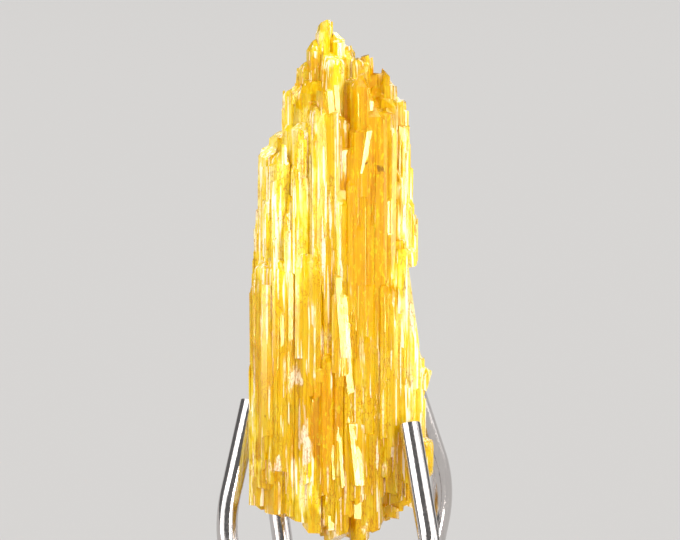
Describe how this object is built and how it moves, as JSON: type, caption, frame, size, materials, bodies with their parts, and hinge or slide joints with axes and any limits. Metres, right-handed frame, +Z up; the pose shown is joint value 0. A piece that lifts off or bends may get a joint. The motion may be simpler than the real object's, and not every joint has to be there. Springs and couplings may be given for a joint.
{
  "type": "legrandite crystal specimen in a wire holder",
  "caption": "Upright bundle of translucent golden-yellow crystal laths, held at its lower half by bent steel wire prongs set in a round turned base.",
  "frame": {"origin": "centre of the base's underside, on the surface it stands on", "axes": "+Z up along the crystal, -Y out of its broad front face, +X to the viewer's right from the front"},
  "size_m": [0.018, 0.018, 0.035],
  "materials": {
    "legrandite": "glossy growth faces with fine lengthwise striations, frosted where broken",
    "wire": "bright drawn steel wire with fine drawing marks and cut ends",
    "base": "satin turned steel"
  },
  "bodies": {
    "root": {"crystal": "legrandite", "prong_front_right": "wire", "prong_front_left": "wire", "prong_back_right": "wire", "prong_back_left": "wire", "holder_base": "base"}
  },
  "joints": []
}
